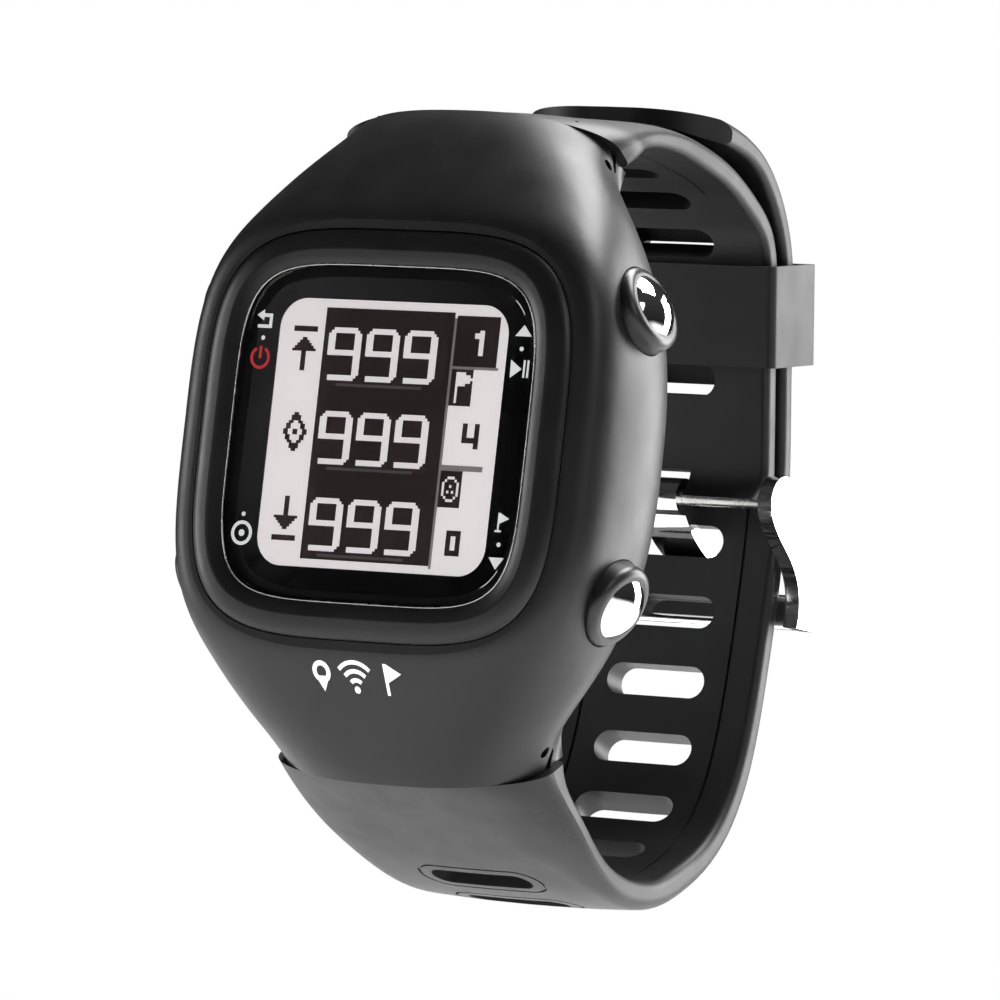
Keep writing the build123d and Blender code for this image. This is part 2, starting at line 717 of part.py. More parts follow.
def make_buckle_prong():
    """A flat tongue that leaves its knuckle, passes the slot and lies on the far bar."""
    middle = Spline(*[Vector(0, y, z) for y, z in PRONG_LINE])
    half = PRONG_THICKNESS / 2
    near, far = [], []
    steps = 14
    for i in range(steps + 1):
        point = middle @ (i / steps)
        heading = middle % (i / steps)
        near.append((point.Y - heading.Z * half, point.Z + heading.Y * half))
        far.append((point.Y + heading.Z * half, point.Z - heading.Y * half))
    edges = [curve(near), line(near[-1], far[-1]), curve(far), line(far[0], near[0])]
    prong = side_prism(edges, PRONG_HALF) + rod(*PIVOT, 1.75, -PRONG_HALF, PRONG_HALF)
    return prong - rod(*PIVOT, PIN_R + 0.04, -5, 5)


# ---- write every node ----------------------------------------------------------------------

os.makedirs("parts", exist_ok=True)

write("case_shell", make_case_shell())
write("bezel_ring", make_bezel_ring())
write("lens", make_lens())
write("lens_gasket", make_lens_gasket())
write("display_mask", make_display_mask())
write("display_panel", make_display_panel())
write("backlight_frame", make_backlight_frame())
write("mainboard", make_mainboard())
write("shield_cans", make_shield_cans())
write("gps_antenna", make_antenna())
write("battery", make_battery())
write("buzzer", make_buzzer())
write("tact_switches", make_tact_switches())
write("case_back", make_case_back())
write("case_back_gasket", make_case_back_gasket())
write("case_back_screws", make_screws())
write("charging_contacts", make_contacts())
write("stem_seals", make_stem_seals())

for side, end, where in CORNERS:
    place = button_frame(side, end)
    write(f"button_cap_{where}", place * make_button_cap())
    write(f"button_clip_{where}", place * make_button_clip())
    write(f"button_collar_{where}", place * make_button_collar())
    write(f"button_spring_{where}", place * make_button_spring())

write("upper_strap", make_upper_strap())
write("lower_strap", make_lower_strap())
write("upper_spring_bar", make_spring_bar())
write("lower_spring_bar", flip(make_spring_bar()))
write("strap_keeper", make_strap_keeper())
write("buckle_frame", make_buckle_frame())
write("buckle_pin", make_buckle_pin())
write("buckle_prong", make_buckle_prong())
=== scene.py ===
import json
import math

import bmesh
import bpy
from mathutils import Matrix, Vector
from mathutils.bvhtree import BVHTree


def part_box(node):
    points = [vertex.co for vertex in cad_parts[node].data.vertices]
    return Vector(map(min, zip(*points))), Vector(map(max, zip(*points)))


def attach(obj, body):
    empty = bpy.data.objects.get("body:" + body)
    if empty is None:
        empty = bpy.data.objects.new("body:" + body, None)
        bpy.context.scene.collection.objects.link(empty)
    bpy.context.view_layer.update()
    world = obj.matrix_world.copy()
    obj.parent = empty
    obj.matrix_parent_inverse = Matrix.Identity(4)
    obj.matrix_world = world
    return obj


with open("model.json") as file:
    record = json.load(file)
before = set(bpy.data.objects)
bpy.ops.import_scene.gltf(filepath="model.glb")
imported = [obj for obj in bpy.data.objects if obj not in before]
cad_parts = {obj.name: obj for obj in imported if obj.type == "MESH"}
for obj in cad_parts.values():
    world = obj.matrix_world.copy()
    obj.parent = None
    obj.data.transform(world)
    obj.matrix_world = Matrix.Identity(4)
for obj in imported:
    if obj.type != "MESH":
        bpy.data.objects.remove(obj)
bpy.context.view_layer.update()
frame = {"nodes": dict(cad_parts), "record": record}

MM = 0.001
MICRON = 0.000001
NODES = frame["nodes"]
RECORD = frame["record"]

WINDOW = 24.0 * MM  # side of the square display picture
CELLS = 96  # cells along each side of it
CELL = WINDOW / CELLS

# ---- camera ------------------------------------------------------------------------------

CAMERA_AT = Vector((0.3784526, -0.5976924, -0.0622698))
CAMERA_RIGHT = Vector((0.8480753, 0.5188264, 0.1076446))
CAMERA_UP = Vector((-0.0481629, -0.1268315, 0.9907543))
CAMERA_BACK = Vector((0.5276823, -0.8454188, -0.0825745))
CAMERA_LENS = 285.518
SENSOR_WIDTH = 36.0
CLIP_START = 10.0 * MM


def make_camera():
    data = bpy.data.cameras.new("camera")
    data.lens = CAMERA_LENS
    data.sensor_width = SENSOR_WIDTH
    data.clip_start = CLIP_START
    camera = bpy.data.objects.new("camera", data)
    columns = Matrix((CAMERA_RIGHT, CAMERA_UP, CAMERA_BACK)).transposed()
    camera.matrix_world = Matrix.Translation(CAMERA_AT) @ columns.to_4x4()
    bpy.context.scene.collection.objects.link(camera)
    bpy.context.scene.camera = camera


make_camera()

# ---- studio ------------------------------------------------------------------------------

SUBJECT = Vector((0.0, 0.012, 0.0))
FLOOR_Z = -0.085
FLOOR_HALF = 1.5
PALE = (0.86, 0.86, 0.855)
WHITE = (1.0, 1.0, 1.0, 1.0)
FILL_BELOW = (0.22, 0.22, 0.22, 1.0)
BACKDROP_GLOW = 1.0
FILL_GLOW = 0.035

# Name, metres right of the subject, above it and towards the camera, size in metres, watts.
LAMPS = (
    ("lamp_top", 0.20, 0.50, -0.16, (0.60, 0.30), 8.0),
    ("lamp_left", -0.56, -0.04, -0.10, (0.22, 0.50), 2.0),
    ("lamp_front", 0.30, 0.34, 0.60, (0.30, 0.30), 0.7),
    ("lamp_right", 0.50, 0.06, -0.24, (0.28, 0.48), 4.5),
)


def softbox(name, right, up, back, size, power):
    """A rectangular lamp placed from the subject along the camera's own directions, aimed at it."""
    data = bpy.data.lights.new(name, "AREA")
    data.shape = "RECTANGLE"
    data.size, data.size_y = size
    data.energy = power
    lamp = bpy.data.objects.new(name, data)
    lamp.location = SUBJECT + CAMERA_RIGHT * right + CAMERA_UP * up + CAMERA_BACK * back
    aim = (SUBJECT - lamp.location).to_track_quat("-Z", "Y")
    lamp.rotation_mode = "QUATERNION"
    lamp.rotation_quaternion = aim
    bpy.context.scene.collection.objects.link(lamp)


def make_world():
    """White behind the object; a dimmer grey lights it, brighter from above than from below."""
    world = bpy.data.worlds.new("studio")
    bpy.context.scene.world = world
    world.use_nodes = True
    tree = world.node_tree
    tree.nodes.clear()
    out = tree.nodes.new("ShaderNodeOutputWorld")
    mix = tree.nodes.new("ShaderNodeMixShader")
    path = tree.nodes.new("ShaderNodeLightPath")
    seen = tree.nodes.new("ShaderNodeBackground")
    seen.inputs["Color"].default_value = WHITE
    seen.inputs["Strength"].default_value = BACKDROP_GLOW
    lit = tree.nodes.new("ShaderNodeBackground")
    lit.inputs["Strength"].default_value = FILL_GLOW
    place = tree.nodes.new("ShaderNodeTexCoord")
    split = tree.nodes.new("ShaderNodeSeparateXYZ")
    ramp = tree.nodes.new("ShaderNodeValToRGB")
    span = tree.nodes.new("ShaderNodeMapRange")
    span.inputs["From Min"].default_value = -1.0
    ramp.color_ramp.elements[0].position = 0.3
    ramp.color_ramp.elements[0].color = FILL_BELOW
    ramp.color_ramp.elements[1].position = 0.8
    ramp.color_ramp.elements[1].color = WHITE
    link = tree.links.new
    link(place.outputs["Generated"], split.inputs[0])
    link(split.outputs["Z"], span.inputs["Value"])
    link(span.outputs["Result"], ramp.inputs["Fac"])
    link(ramp.outputs["Color"], lit.inputs["Color"])
    link(path.outputs["Is Camera Ray"], mix.inputs["Fac"])
    link(lit.outputs[0], mix.inputs[1])
    link(seen.outputs[0], mix.inputs[2])
    link(mix.outputs[0], out.inputs["Surface"])


make_world()
bpy.context.scene.view_settings.view_transform = "Standard"
for lamp_values in LAMPS:
    softbox(*lamp_values)

# ---- materials ---------------------------------------------------------------------------

NOISE_LOW, NOISE_HIGH = 0.25, 0.75  # the part of a noise's range that is stretched to the full range
EDGE_LOW, EDGE_HIGH = 0.53, 0.62  # pointiness where an edge starts to turn paler, and where it is palest
NO_STRETCH = (1.0, 1.0, 1.0)
WAVE_BANDS = 3.2  # bands that the wave texture draws per unit length at scale 1, roughly


class Finish:
    """A Principled material whose nodes are added step by step."""

    def __init__(self, name):
        self.made = bpy.data.materials.new(name)
        self.made.use_nodes = True
        self.tree = self.made.node_tree
        self.shader = self.tree.nodes["Principled BSDF"]
        self.output = self.tree.nodes["Material Output"]
        self.place = self.tree.nodes.new("ShaderNodeTexCoord").outputs["Object"]

    def node(self, kind, **values):
        made = self.tree.nodes.new(kind)
        for socket, value in values.items():
            made.inputs[socket.replace("_", " ")].default_value = value
        return made

    def join(self, source, target):
        self.tree.links.new(source, target)

    def noise(self, size, detail=3.0, stretch=NO_STRETCH):
        """Noise whose features are about size metres across."""
        place = self.node("ShaderNodeMapping", Scale=stretch)
        self.join(self.place, place.inputs["Vector"])
        cloud = self.node("ShaderNodeTexNoise", Scale=1.0 / size, Detail=detail)
        self.join(place.outputs["Vector"], cloud.inputs["Vector"])
        return cloud.outputs["Fac"]

    def spread(self, factor, low, high):
        """A noise factor stretched to run from low to high."""
        span = self.node("ShaderNodeMapRange", To_Min=low, To_Max=high)
        span.inputs["From Min"].default_value = NOISE_LOW
        span.inputs["From Max"].default_value = NOISE_HIGH
        self.join(factor, span.inputs["Value"])
        return span.outputs["Result"]

    def blend(self, factor, first, second):
        """A mix of two colours, each a plain colour or another node's output."""
        mix = self.tree.nodes.new("ShaderNodeMix")
        mix.data_type = "RGBA"
        self.join(factor, mix.inputs[0])
        for socket, value in ((mix.inputs[6], first), (mix.inputs[7], second)):
            if isinstance(value, tuple):
                socket.default_value = (*value, 1.0)
            else:
                self.join(value, socket)
        return mix.outputs[2]

    def paler_on_edges(self, colour, edge_colour):
        """The colour goes over to the edge colour along sharp outside edges."""
        shape = self.tree.nodes.new("ShaderNodeNewGeometry")
        span = self.node("ShaderNodeMapRange", To_Min=0.0, To_Max=1.0)
        span.inputs["From Min"].default_value = EDGE_LOW
        span.inputs["From Max"].default_value = EDGE_HIGH
        self.join(shape.outputs["Pointiness"], span.inputs["Value"])
        return self.blend(span.outputs["Result"], colour, edge_colour)

    def bump(self, layers):
        """Bumps stacked from (height, metres deep)."""
        normal = None
        for height, depth in layers:
            bump = self.node("ShaderNodeBump", Distance=depth)
            bump.inputs["Strength"].default_value = 1.0
            self.join(height, bump.inputs["Height"])
            if normal is not None:
                self.join(normal, bump.inputs["Normal"])
            normal = bump.outputs["Normal"]
        self.join(normal, self.shader.inputs["Normal"])


def tinted(colour, factor):
    return tuple(min(1.0, c * factor) for c in colour)


def moulded(name, colour, roughness, grain=0.22 * MM, depth=10 * MICRON, specular=0.4, edge_lift=1.6):
    """Moulded plastic or rubber: fine spark-eroded grain, faint mottling, slightly paler edges."""
    made = Finish(name)
    shader = made.shader
    patches = made.spread(made.noise(6.0 * MM), 0.0, 1.0)
    mottle = made.blend(patches, tinted(colour, 0.88), tinted(colour, 1.12))
    made.join(made.paler_on_edges(mottle, tinted(colour, edge_lift)), shader.inputs["Base Color"])
    sheen = made.spread(made.noise(3.5 * MM), roughness - 0.04, roughness + 0.04)
    made.join(sheen, shader.inputs["Roughness"])
    shader.inputs["Specular IOR Level"].default_value = specular
    made.bump(((made.noise(grain, 2.0), depth), (made.noise(4.0 * MM, 1.0), depth * 1.5)))
    return made


def metal(name, colour, roughness, brushed=NO_STRETCH, depth=1.5 * MICRON):
    """Metal with a light variation of polish, brushed along one direction if asked."""
    made = Finish(name)
    shader = made.shader
    shader.inputs["Metallic"].default_value = 1.0
    patches = made.spread(made.noise(3.0 * MM), 0.0, 1.0)
    tint = made.blend(patches, tinted(colour, 0.94), tinted(colour, 1.03))
    made.join(tint, shader.inputs["Base Color"])
    sheen = made.spread(made.noise(1.2 * MM), roughness * 0.7, roughness * 1.3)
    made.join(sheen, shader.inputs["Roughness"])
    made.bump(((made.noise(0.2 * MM, 2.0, brushed), depth),))
    return made


def polished(name, colour, roughness, coat):
    """Glossy plastic with a barely visible waviness."""
    made = Finish(name)
    shader = made.shader
    patches = made.spread(made.noise(10.0 * MM), 0.0, 1.0)
    shade = made.blend(patches, tinted(colour, 0.9), tinted(colour, 1.1))
    made.join(shade, shader.inputs["Base Color"])
    sheen = made.spread(made.noise(2.0 * MM), roughness * 0.8, roughness * 1.2)
    made.join(sheen, shader.inputs["Roughness"])
    shader.inputs["Coat Weight"].default_value = coat
    shader.inputs["Coat Roughness"].default_value = 0.03
    made.bump(((made.noise(6.0 * MM, 1.0), 4 * MICRON),))
    return made


def mask_with_painted_reflection(name, dark, light, span):
    """Gloss black print with a painted reflection that lifts it to dark grey towards its 10 o'clock
    corner.
    """
    made = Finish(name)
    shader = made.shader
    split = made.node("ShaderNodeSeparateXYZ")
    made.join(made.place, split.inputs[0])
    across = made.node("ShaderNodeMath")
    across.operation = "SUBTRACT"
    made.join(split.outputs["Z"], across.inputs[0])
    made.join(split.outputs["X"], across.inputs[1])
    ramp = made.node("ShaderNodeMapRange", From_Min=-0.3 * span, From_Max=span)
    made.join(across.outputs[0], ramp.inputs["Value"])
    # The blend from dark to light across the diagonal is a painted reflection.
    made.join(made.blend(ramp.outputs["Result"], dark, light), shader.inputs["Base Color"])
    made.join(made.spread(made.noise(2.0 * MM), 0.18, 0.26), shader.inputs["Roughness"])
    made.bump(((made.noise(6.0 * MM, 1.0), 3 * MICRON),))
    return made


def clear_lens(name):
    """Polished clear plastic: see-through, with a reflection that grows towards grazing."""
    made = Finish(name)
    tree = made.tree
    tree.nodes.remove(made.shader)
    clear = made.node("ShaderNodeBsdfTransparent")
    clear.inputs["Color"].default_value = (0.97, 0.975, 0.975, 1.0)
    gloss = made.node("ShaderNodeBsdfGlossy")
    made.join(made.spread(made.noise(2.0 * MM), 0.015, 0.05), gloss.inputs["Roughness"])
    fresnel = made.node("ShaderNodeFresnel", IOR=1.46)
    mix = tree.nodes.new("ShaderNodeMixShader")
    made.join(fresnel.outputs["Fac"], mix.inputs["Fac"])
    made.join(clear.outputs[0], mix.inputs[1])
    made.join(gloss.outputs[0], mix.inputs[2])
    made.join(mix.outputs[0], made.output.inputs["Surface"])
    return made


def panel_with_painted_glow(name, colour, painted_glow):
    """The pale face of a liquid crystal panel: a fine cell grid over a faintly uneven tint, which glows
    as painted light.
    """
    made = Finish(name)
    shader = made.shader
    wave = made.node("ShaderNodeTexWave", Scale=1.0 / (CELL * WAVE_BANDS))
    wave.bands_direction = "X"
    made.join(made.place, wave.inputs["Vector"])
    cells = made.spread(wave.outputs["Fac"], 0.0, 0.35)
    paper = made.blend(made.spread(made.noise(20.0 * MM), 0.0, 1.0), tinted(colour, 0.96), colour)
    shade = made.blend(cells, paper, tinted(colour, 0.93))
    made.join(shade, shader.inputs["Base Color"])
    # The emission is a painted glow: the panel gives off light though it is no lamp.
    made.join(shade, shader.inputs["Emission Color"])
    shader.inputs["Emission Strength"].default_value = painted_glow
    shader.inputs["Roughness"].default_value = 0.55
    return made


def printed(name, colour, painted_glow=0.0):
    """Screen-printed ink with a faint unevenness, which glows as painted light when given a painted
    glow.
    """
    made = Finish(name)
    shader = made.shader
    ink = made.blend(made.spread(made.noise(0.6 * MM), 0.0, 1.0), tinted(colour, 0.93), colour)
    made.join(ink, shader.inputs["Base Color"])
    # A painted glow makes the ink give off light though it is no lamp.
    if painted_glow:
        made.join(ink, shader.inputs["Emission Color"])
        shader.inputs["Emission Strength"].default_value = painted_glow
    shader.inputs["Roughness"].default_value = 0.5
    made.bump(((made.noise(0.2 * MM, 2.0), 3 * MICRON),))
    return made


def soft_black(name, colour, roughness, grain, depth, specular, edge_lift):
    """The fine-grained black of the case and strap, with its depth in microns."""
    return moulded(name, colour, roughness, grain * MM, depth * MICRON, specular, edge_lift)


BRUSHED = (1.0, 10.0, 10.0)
BRUSHED_FINE = (1.0, 12.0, 12.0)
FINISHES = {
    "shell": soft_black("soft_touch_shell", (0.0062, 0.0062, 0.0064), 0.42, 0.2, 5, 0.5, 1.3),
    "ring": soft_black("satin_ring", (0.0060, 0.0060, 0.0062), 0.36, 0.2, 3, 0.5, 1.3),
    "lens": clear_lens("clear_lens"),
    # The mask's grey lift towards 10 o'clock is a painted reflection.
    "mask": mask_with_painted_reflection("mask_ink_painted_reflection", (0.006, 0.006, 0.0065), (0.13, 0.125, 0.13), 26.0 * MM),
    # The display's glow is painted light, not a lamp.
    "display": panel_with_painted_glow("pale_panel_painted_glow", (0.80, 0.745, 0.75), 0.82),
    "white_plastic": moulded("white_moulding", (0.8, 0.8, 0.78), 0.5),
    "circuit_board": polished("solder_mask", (0.012, 0.10, 0.04), 0.35, 0.3),
    "tin_can": metal("tin_plate", (0.72, 0.71, 0.69), 0.30, BRUSHED_FINE),
    "ceramic": moulded("fired_ceramic", (0.55, 0.45, 0.33), 0.45, 0.4 * MM, 15 * MICRON),
    "battery_foil": metal("battery_foil", (0.62, 0.63, 0.65), 0.38, depth=6 * MICRON),
    "switch_plastic": moulded("switch_moulding", (0.03, 0.03, 0.03), 0.5),
    "back_cover": moulded("back_moulding", (0.022, 0.022, 0.023), 0.52, 0.3 * MM, 14 * MICRON),
    "seal_rubber": moulded("seal_rubber", (0.012, 0.012, 0.012), 0.62),
    "steel": metal("brushed_steel", (0.60, 0.59, 0.58), 0.26, BRUSHED),
    "gold": metal("gold_plate", (0.90, 0.68, 0.32), 0.20),
    "strap_rubber": soft_black("strap_rubber", (0.0066, 0.0066, 0.0068), 0.48, 0.18, 6, 0.45, 1.5),
    "keeper_rubber": soft_black("keeper_rubber", (0.0060, 0.0060, 0.0062), 0.50, 0.16, 6, 0.45, 1.5),
    "buckle_chrome": metal("buckle_chrome", (0.93, 0.93, 0.93), 0.07),
    "button_chrome": metal("button_chrome", (0.94, 0.94, 0.94), 0.05),
    "collar_plastic": soft_black("collar_moulding", (0.009, 0.009, 0.009), 0.34, 0.2, 3, 0.55, 1.4),
}
DARK_CELLS = printed("dark_cells", (0.085, 0.052, 0.052))
# These grey and faint cells and the white, red and silver inks glow as painted light.
GREY_CELLS = printed("grey_cells_painted_glow", (0.34, 0.30, 0.30), 0.35)
FAINT_CELLS = printed("faint_cells_painted_glow", (0.22, 0.18, 0.18), 0.1)
WHITE_INK = printed("white_ink_painted_glow", (0.86, 0.86, 0.86), 0.65)
RED_INK = printed("red_ink_painted_glow", (0.55, 0.045, 0.055), 0.55)
SILVER_INK = printed("silver_ink_painted_glow", (0.82, 0.82, 0.81), 0.6)


def own(mesh_object, finish):
    """The object's only material becomes the finish's."""
    mesh_object.data.materials.clear()
    mesh_object.data.materials.append(finish.made)


for part in RECORD["subparts"]:
    own(NODES[part["node"]], FINISHES[part["material_slot"]])

# ---- mesh helpers ------------------------------------------------------------------------


def add_object(name, verts, faces):
    mesh = bpy.data.meshes.new(name)
    mesh.from_pydata(verts, [], faces)
    mesh.validate()
    piece = bpy.data.objects.new(name, mesh)
    bpy.context.scene.collection.objects.link(piece)
    return piece


def thicken(piece, thickness):
    """Gives a sheet its thickness, which grows against the normals of its faces."""
    solid = piece.modifiers.new("thickness", "SOLIDIFY")
    solid.thickness = thickness
    solid.offset = -1.0
    solid.use_even_offset = False
    return piece


def settle(piece, finish, body="watch"):
    own(piece, finish)
    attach(piece, body)


# ---- liquid crystal picture --------------------------------------------------------------

PANEL_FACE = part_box("display_panel")[0].y
PICTURE_LIFT = 0.03 * MM
PICTURE_THICK = 0.02 * MM


class Picture:
    """Cells switched on in a square grid, column 0 at the left and row 0 at the top."""

    def __init__(self):
        self.on = set()

    def fill(self, left, top, width, height):
        for column in range(left, left + width):
            for row in range(top, top + height):
                self.on.add((column, row))
        return self

    def clear(self, other):
        self.on -= other.on
        return self

    def stamp(self, other, left, top):
        self.on |= {(c + left, r + top) for c, r in other.on}
        return self

    def build(self, name):
        """One sheet of square cells, a vertex shared wherever cells touch."""
        verts, faces, index = [], [], {}

        def corner(column, row):
            if (column, row) not in index:
                index[column, row] = len(verts)
                x = -WINDOW / 2 + column * CELL
                z = WINDOW / 2 - row * CELL
                verts.append((x, PANEL_FACE - PICTURE_LIFT, z))
            return index[column, row]

        for c, r in sorted(self.on):
            faces.append((corner(c, r), corner(c, r + 1), corner(c + 1, r + 1), corner(c + 1, r)))
        return thicken(add_object(name, verts, faces), PICTURE_THICK)


def digit_nine():
    """Fourteen cells wide and nineteen high, with stepped corners."""
    shape = Picture().fill(2, 0, 10, 2).fill(0, 2, 3, 6).fill(0, 8, 12, 2).fill(11, 2, 3, 15)
    shape.fill(1, 17, 11, 2).fill(1, 1, 2, 2).fill(11, 1, 2, 2).fill(11, 16, 2, 2)
    shape.fill(1, 7, 2, 2)
    return shape


def ring_cells(width, height, stroke, cut):
    """A rectangle of strokes with its corners left off."""
    shape = Picture().fill(0, 0, width, height)
    shape.clear(Picture().fill(stroke, stroke, width - 2 * stroke, height - 2 * stroke))
    for column, row in ((0, 0), (width - cut, 0), (0, height - cut), (width - cut, height - cut)):
        shape.clear(Picture().fill(column, row, cut, cut))
    return shape


ICON_WIDTH, ICON_HEIGHT = 10, 16


def far_icon():
    """An arrow pointing up to a bar, for the far side of a green."""
    shape = Picture().fill(0, 0, ICON_WIDTH, 2).fill(4, 8, 2, 8)
    for i in range(5):
        shape.fill(4 - i, 4 + i, 2 + 2 * i, 1)
    return shape


def middle_icon():
    """A diamond with a dot, for the middle of a green."""
    shape = Picture().fill(4, 7, 2, 2)
    middle_column, middle_row = (ICON_WIDTH - 1) / 2, (ICON_HEIGHT - 1) / 2
    slope, inner, outer = 0.65, 3.4, 5.2
    for column in range(ICON_WIDTH):
        for row in range(ICON_HEIGHT):
            away = abs(column - middle_column) + slope * abs(row - middle_row)
            if inner < away < outer:
                shape.fill(column, row, 1, 1)
    return shape


def near_icon():
    """An arrow pointing down to a bar, for the near side."""
    shape = Picture()
    shape.on = {(column, ICON_HEIGHT - 1 - row) for column, row in far_icon().on}
    return shape


def small_flag():
    return Picture().fill(0, 0, 1, 11).fill(1, 0, 3, 5).fill(4, 1, 2, 3).fill(6, 2, 1, 1)


def small_ball():
    shape = ring_cells(7, 9, 1, 2).fill(1, 1, 1, 1).fill(5, 1, 1, 1).fill(1, 7, 1, 1).fill(5, 7, 1, 1)
    return shape.fill(3, 3, 1, 1).fill(2, 5, 1, 1).fill(4, 5, 1, 1)


def digit_one():
    return Picture().fill(2, 0, 2, 9).fill(0, 1, 2, 2)


def digit_four():
    return Picture().fill(0, 0, 2, 6).fill(0, 5, 7, 2).fill(5, 0, 2, 9)


def digit_zero():
    return ring_cells(6, 9, 2, 0)


# Places in cells. A block is left, top, width, height; a sign's place is left, top.
NUMBER_BLOCK = (19, 3, 54, 90)
ROW_TOPS = (10, 40, 71)
DIGIT_LEFTS = (21, 37, 53)
ROW_ICONS = (far_icon, middle_icon, near_icon)
ICON_LEFT = 6
UNDERLINE_LEFT, UNDERLINE_WIDTH, UNDERLINE_DROP = 26, 36, 20
DIVIDERS = ((73, 5, 1, 89), (74, 22, 19, 1), (74, 57, 17, 2))
ONE_BLOCK, ONE_AT = (74, 4, 18, 18), (82, 9)
FLAG_BLOCK, FLAG_AT = (74, 23, 9, 13), (76, 24)
BALL_BLOCK, BALL_AT = (74, 59, 9, 13), (75, 61)
FOUR_AT = (81, 42)
ZERO_AT = (79, 80)


def make_picture():
    """The number block, its underlines and the dividers, each tone as one piece."""
    dark, faint, grey = Picture().fill(*NUMBER_BLOCK), Picture(), Picture()
    for top, icon in zip(ROW_TOPS, ROW_ICONS):
        for left in DIGIT_LEFTS:
            dark.clear(Picture().stamp(digit_nine(), left, top))
        faint.fill(UNDERLINE_LEFT, top + UNDERLINE_DROP, UNDERLINE_WIDTH, 1)
        dark.stamp(icon(), ICON_LEFT, top)
    dark.clear(faint)
    for divider in DIVIDERS:
        grey.fill(*divider)
    dark.fill(*ONE_BLOCK).clear(Picture().stamp(digit_one(), *ONE_AT))
    dark.fill(*FLAG_BLOCK).clear(Picture().stamp(small_flag(), *FLAG_AT))
    dark.stamp(digit_four(), *FOUR_AT)
    dark.fill(*BALL_BLOCK).clear(Picture().stamp(small_ball(), *BALL_AT))
    dark.stamp(digit_zero(), *ZERO_AT)
    dark.clear(grey)
    settle(dark.build("lcd_dark_cells"), DARK_CELLS)
    settle(grey.build("lcd_grey_cells"), GREY_CELLS)
    settle(faint.build("lcd_faint_cells"), FAINT_CELLS)


make_picture()

# ---- printed icons -----------------------------------------------------------------------

MASK_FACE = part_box("display_mask")[0].y
INK_LIFT = 0.03 * MM
INK_THICK = 0.02 * MM
WELD = 0.0001 * MM
DOT = 0.2

# Millimetres across and up from the display's centre.
MASK_LEFT, MASK_RIGHT = -13.65, 13.5


def polygon(points):
    return [(x * MM, z * MM) for x, z in points]


def ring(x, z, radius, width, first=0.0, last=360.0, count=48):
    """A ring or an arc of a ring as quads, in degrees anticlockwise from 3 o'clock."""
    quads = []
    for i in range(count):
        angles = [math.radians(first + (last - first) * (i + k) / count) for k in (0, 1)]
        low, high = radius - width / 2, radius + width / 2
        ends = [(x + r * math.cos(a), z + r * math.sin(a)) for a in angles for r in (low, high)]
        quads.append(polygon((ends[0], ends[1], ends[3], ends[2])))
    return quads


def dot(x, z, radius, count=32):
    turn = [2 * math.pi * i / count for i in range(count)]
    return [polygon([(x + radius * math.cos(a), z + radius * math.sin(a)) for a in turn])]


def bar(x0, z0, x1, z1):
    return [polygon(((x0, z0), (x1, z0), (x1, z1), (x0, z1)))]


def flat_icon(name, polygons, place):
    """Polygons laid flat on the surface that place() finds, as one thin printed piece."""
    mesh = bmesh.new()
    for points in polygons:
        mesh.faces.new([mesh.verts.new(place(x, z)) for x, z in points])
    bmesh.ops.remove_doubles(mesh, verts=mesh.verts, dist=WELD)
    bmesh.ops.recalc_face_normals(mesh, faces=mesh.faces)
    facing = sum((f.normal.y * f.calc_area() for f in mesh.faces), 0.0)
    if facing > 0:
        bmesh.ops.reverse_faces(mesh, faces=mesh.faces)
    data = bpy.data.meshes.new(name)
    mesh.to_mesh(data)
    mesh.free()
    piece = bpy.data.objects.new(name, data)
    bpy.context.scene.collection.objects.link(piece)
    return thicken(piece, INK_THICK)


def on_mask(x, z):
    return (x, MASK_FACE - INK_LIFT, z)


def back_arrow(x, z):
    head = [polygon(((x - 0.85, z + 0.45), (x - 0.1, z + 0.95), (x - 0.1, z - 0.05)))]
    top = bar(x - 0.1, z + 0.3, x + 0.8, z + 0.6)
    side = bar(x + 0.5, z - 0.4, x + 0.8, z + 0.3)
    foot = bar(x - 0.7, z - 0.7, x + 0.8, z - 0.4)
    return head + top + side + foot


def ring_and_dot(x, z):
    return ring(x, z, 0.95, 0.3) + dot(x, z, 0.3)


def up_sign(x, z):
    return [polygon(((x, z + 1.0), (x - 0.85, z), (x + 0.85, z)))]


def down_sign(x, z):
    return [polygon(((x, z), (x + 1.55, z), (x + 0.77, z - 1.05)))]


def play_and_pause(x, z):
    arrow = [polygon(((x, z + 1.6), (x + 1.15, z + 0.8), (x + 0.05, z)))]
    return arrow + bar(x + 1.31, z + 0.05, x + 1.5, z + 1.6) + bar(x + 1.7, z + 0.05, x + 1.89, z + 1.6)


def flag_sign(x, z):
    pole = bar(x, z, x + 0.16, z + 1.55) + bar(x - 0.23, z - 0.15, x + 0.4, z + 0.01)
    return pole + [polygon(((x + 0.16, z + 1.55), (x + 1.12, z + 1.05), (x + 0.16, z + 0.6)))]


def power_sign(x, z):
    return ring(x, z, 0.9, 0.28, 120.0, 420.0) + bar(x - 0.14, z - 0.08, x + 0.14, z + 1.02)


def make_mask_icons():
    """The signs beside each button: white, apart from the red power sign."""
    white = back_arrow(MASK_LEFT, 9.85) + dot(MASK_LEFT, 8.26, DOT)
    white += dot(MASK_LEFT, -7.6, DOT) + ring_and_dot(MASK_LEFT, -9.3)
    white += up_sign(MASK_RIGHT + 0.05, 9.4) + dot(MASK_RIGHT, 8.28, DOT)
    white += play_and_pause(12.55, 5.7) + flag_sign(12.98, -7.75)
    white += dot(MASK_RIGHT - 0.2, -9.0, DOT) + down_sign(12.45, -10.15)
    settle(flat_icon("mask_icons_white", white, on_mask), WHITE_INK)
    red = power_sign(MASK_LEFT - 0.1, 6.48)
    settle(flat_icon("mask_icon_red", red, on_mask), RED_INK)


make_mask_icons()

# ---- badge under the display -------------------------------------------------------------

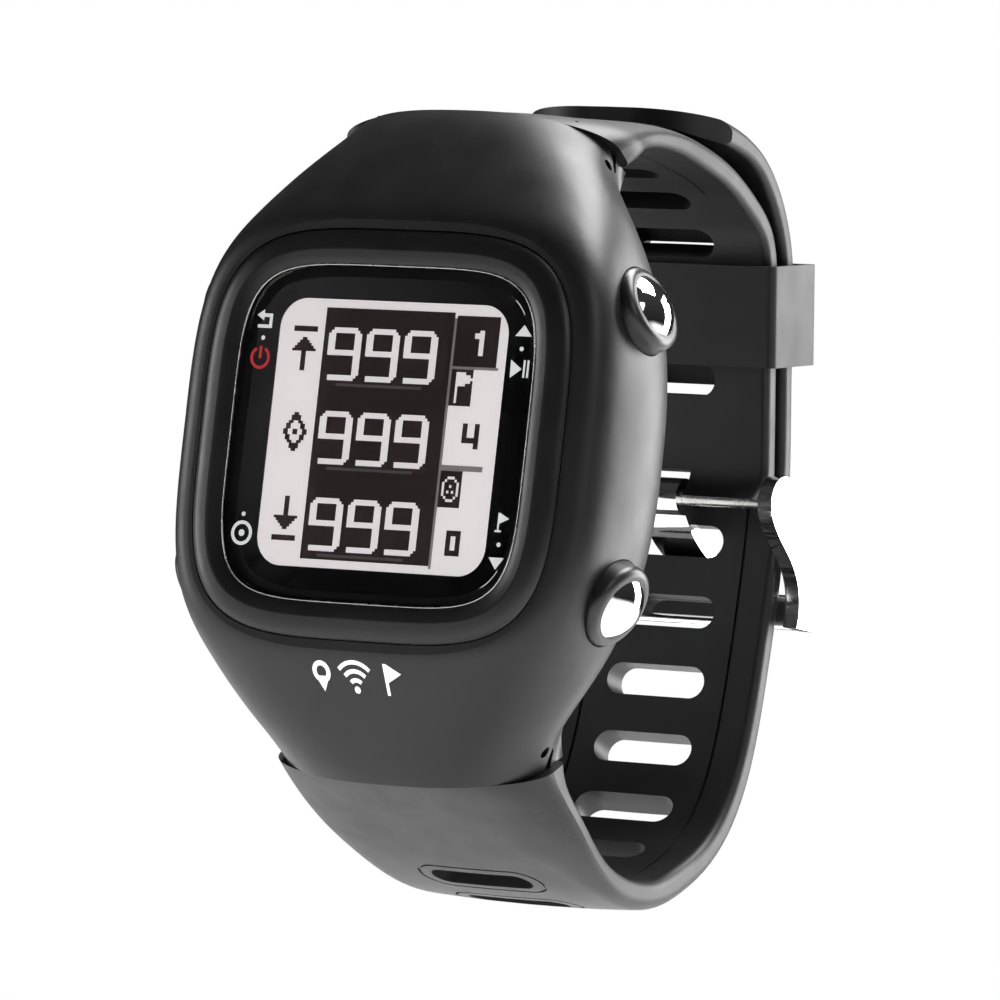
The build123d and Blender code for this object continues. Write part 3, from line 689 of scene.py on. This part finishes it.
OUTSIDE_Y = -50.0 * MM  # in front of the whole object, where rays onto the shell start
BADGE_BASE = -22.75
PIN_X, PIN_SHOULDER, PIN_RADIUS = -3.9, -21.45, 0.72
ARCS_X, ARC_RADII = -0.4, (0.75, 1.5, 2.25)
POLE_LEFT, POLE_RIGHT, POLE_TOP = 2.7, 3.0, -20.1


def shell_surface():
    """A function that drops a point straight onto the front of the shell."""
    shell = NODES["case_shell"].data
    tree = BVHTree.FromPolygons([v.co for v in shell.vertices], [p.vertices for p in shell.polygons])

    def place(x, z):
        hit, normal, _, _ = tree.ray_cast(Vector((x, OUTSIDE_Y, z)), Vector((0, 1, 0)))
        return hit + normal * INK_LIFT
    return place


def make_badge():
    """A generic place pin, three signal arcs and a flag, printed on the slope under the display."""
    shapes = ring(PIN_X, PIN_SHOULDER + 0.35, PIN_RADIUS, 0.42)
    pin_left, pin_right = PIN_X - PIN_RADIUS, PIN_X + PIN_RADIUS
    shapes += [polygon(((pin_left, PIN_SHOULDER), (pin_right, PIN_SHOULDER), (PIN_X, BADGE_BASE)))]
    for radius in ARC_RADII:
        shapes += ring(ARCS_X, BADGE_BASE + 0.35, radius, 0.36, 45.0, 135.0, 24)
    shapes += dot(ARCS_X, BADGE_BASE + 0.3, 0.3)
    shapes += bar(POLE_LEFT, BADGE_BASE, POLE_RIGHT, POLE_TOP)
    flag = (POLE_RIGHT, POLE_TOP), (POLE_RIGHT + 1.5, POLE_TOP - 0.8), (POLE_RIGHT, POLE_TOP - 1.6)
    shapes += [polygon(flag)]
    settle(flat_icon("shell_badge", shapes, shell_surface()), SILVER_INK)


make_badge()

# ---- polished line round the lens, a stand-in for the lens edge highlight ----------------

TRIM_COUNT = 160
TRIM_RADIUS = 0.075 * MM
TRIM_POWER = 5.0


def make_lens_highlight_trim():
    """A hair of polished metal where the lens meets the bezel ring, put there as a stand-in for the
    highlight along the lens edge.
    """
    low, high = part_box("lens")
    curve = bpy.data.curves.new("lens_highlight_trim", "CURVE")
    curve.dimensions = "3D"
    curve.bevel_depth = TRIM_RADIUS
    curve.bevel_resolution = 3
    line = curve.splines.new("POLY")
    line.points.add(TRIM_COUNT - 1)
    line.use_cyclic_u = True
    for i, point in enumerate(line.points):
        angle = 2 * math.pi * i / TRIM_COUNT
        c, s = math.cos(angle), math.sin(angle)
        reach = (abs(c / high.x) ** TRIM_POWER + abs(s / high.z) ** TRIM_POWER) ** (-1 / TRIM_POWER)
        point.co = (reach * c, low.y, reach * s, 1.0)
    trim = bpy.data.objects.new("lens_highlight_trim", curve)
    bpy.context.scene.collection.objects.link(trim)
    settle(trim, FINISHES["steel"])


make_lens_highlight_trim()

# ---- floor -------------------------------------------------------------------------------


def make_floor():
    turns = ((-1, -1), (1, -1), (1, 1), (-1, 1))
    corners = [(across * FLOOR_HALF, along * FLOOR_HALF, FLOOR_Z) for across, along in turns]
    floor = add_object("floor", corners, [(0, 1, 2, 3)])
    paper = Finish("pale_paper")
    shade = paper.blend(paper.spread(paper.noise(10.0 * MM), 0.0, 1.0), tinted(PALE, 0.985), PALE)
    paper.join(shade, paper.shader.inputs["Base Color"])
    paper.shader.inputs["Roughness"].default_value = 0.7
    own(floor, paper)


make_floor()
